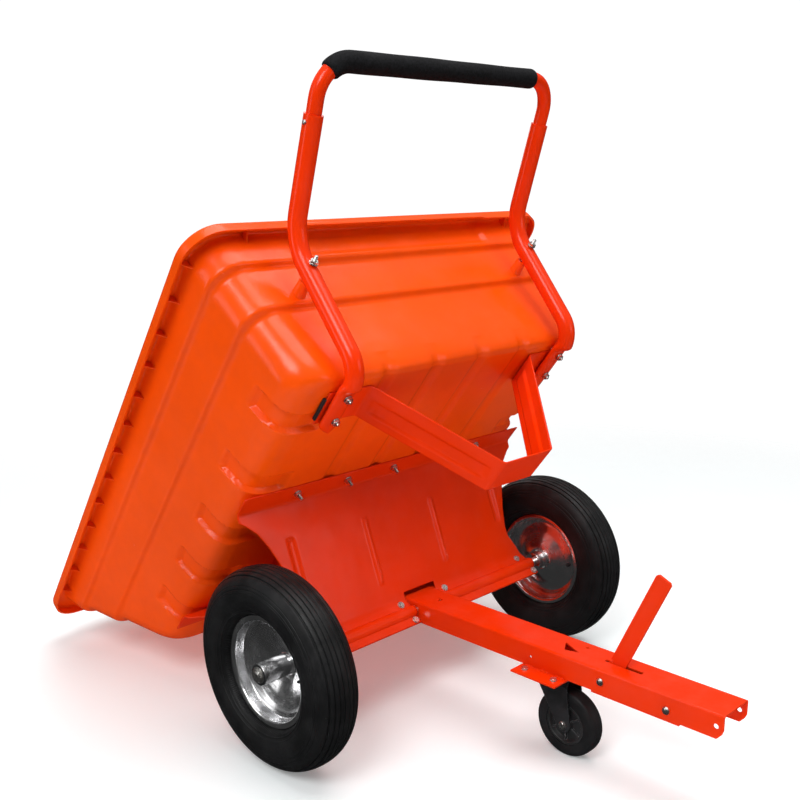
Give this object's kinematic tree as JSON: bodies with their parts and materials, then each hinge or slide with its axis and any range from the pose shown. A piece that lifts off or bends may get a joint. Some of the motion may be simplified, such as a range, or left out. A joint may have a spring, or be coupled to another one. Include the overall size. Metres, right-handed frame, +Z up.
{
  "type": "tipping garden cart",
  "caption": "Two-wheeled dump cart with a drawbar, swivel caster, push handle and a moulded tub that tips back about the axle.",
  "frame": {"origin": "on the ground under the middle of the cart's bounding box", "axes": "+Z up; -Y forward along the drawbar; +X to the cart's left, along the axle"},
  "size_m": [0.9752, 1.5538, 1.2968],
  "materials": {
    "tub_plastic": "moulded orange polyethylene, satin gloss",
    "coated_steel": "glossy red-orange powder coat",
    "plated_steel": "bright zinc-plated fasteners, axle and hubs",
    "rim_plate": "polished plated pressed rims",
    "tyre_rubber": "black rubber with circumferential grooves",
    "valve_rubber": "black rubber valve stem",
    "grip_foam": "matt black foam sleeve",
    "dark_steel": "dark grey pressed steel",
    "caster_plastic": "black moulded wheel centre"
  },
  "bodies": {
    "chassis": {"axle": "plated_steel", "axle_nut_left": "plated_steel", "axle_nut_right": "plated_steel", "caster_base_plate": "dark_steel", "caster_bolt_1": "plated_steel", "caster_bolt_2": "plated_steel", "caster_bolt_3": "plated_steel", "caster_bolt_4": "plated_steel", "caster_bracket": "coated_steel", "channel_bolt": "plated_steel", "drawbar": "coated_steel", "latch_channel": "coated_steel", "latch_pivot_bolt": "plated_steel"},
    "tipping_tub": {"clamp_bolt_lower_1": "plated_steel", "clamp_bolt_lower_2": "plated_steel", "clamp_bolt_lower_3": "plated_steel", "clamp_bolt_lower_4": "plated_steel", "clamp_bolt_upper_1": "plated_steel", "clamp_bolt_upper_2": "plated_steel", "clamp_bolt_upper_3": "plated_steel", "clamp_bolt_upper_4": "plated_steel", "foam_grip": "grip_foam", "front_flange_bolt_1": "plated_steel", "front_flange_bolt_2": "plated_steel", "front_flange_bolt_3": "plated_steel", "front_flange_bolt_4": "plated_steel", "front_flange_bolt_5": "plated_steel", "front_support_plate": "coated_steel", "handle_bar": "coated_steel", "handle_tube_left": "coated_steel", "handle_tube_right": "coated_steel", "joint_screw_left": "plated_steel", "joint_screw_right": "plated_steel", "latch_bracket": "coated_steel", "rear_flange_bolt_1": "plated_steel", "rear_flange_bolt_2": "plated_steel", "rear_flange_bolt_3": "plated_steel", "rear_support_plate": "coated_steel", "tub": "tub_plastic", "tube_bolt_left_front": "plated_steel", "tube_bolt_left_rear": "plated_steel", "tube_bolt_right_front": "plated_steel", "tube_bolt_right_rear": "plated_steel", "wall_bolt_left": "plated_steel", "wall_bolt_right": "plated_steel"},
    "wheel_right": {"hub_right": "plated_steel", "rim_right": "rim_plate", "tyre_right": "tyre_rubber", "valve_right": "valve_rubber"},
    "wheel_left": {"hub_left": "plated_steel", "rim_left": "rim_plate", "tyre_left": "tyre_rubber", "valve_left": "valve_rubber"},
    "caster_swivel": {"caster_axle_bolt": "plated_steel", "caster_fork": "dark_steel", "caster_kingpin": "plated_steel"},
    "caster_wheel": {"caster_core": "caster_plastic", "caster_tyre": "tyre_rubber"},
    "latch_lever": {"latch_pedal": "coated_steel"}
  },
  "joints": [
    {"name": "tub_tip", "type": "hinge", "parent": "chassis", "child": "tipping_tub", "pos_m": [0, -0.0609, 0.2], "axis": [1, 0, 0], "range_deg": [0, 52]},
    {"name": "wheel_right_spin", "type": "hinge", "parent": "chassis", "child": "wheel_right", "pos_m": [-0.415, -0.0609, 0.2], "axis": [1, 0, 0], "continuous": true},
    {"name": "wheel_left_spin", "type": "hinge", "parent": "chassis", "child": "wheel_left", "pos_m": [0.415, -0.0609, 0.2], "axis": [1, 0, 0], "continuous": true},
    {"name": "caster_turn", "type": "hinge", "parent": "chassis", "child": "caster_swivel", "pos_m": [0, -0.4059, 0.155], "axis": [0, 0, 1], "continuous": true},
    {"name": "caster_roll", "type": "hinge", "parent": "caster_swivel", "child": "caster_wheel", "pos_m": [0, -0.4399, 0.068], "axis": [1, 0, 0], "continuous": true},
    {"name": "latch_release", "type": "hinge", "parent": "chassis", "child": "latch_lever", "pos_m": [0, -0.5319, 0.199], "axis": [1, 0, 0], "range_deg": [-16, 0]}
  ]
}
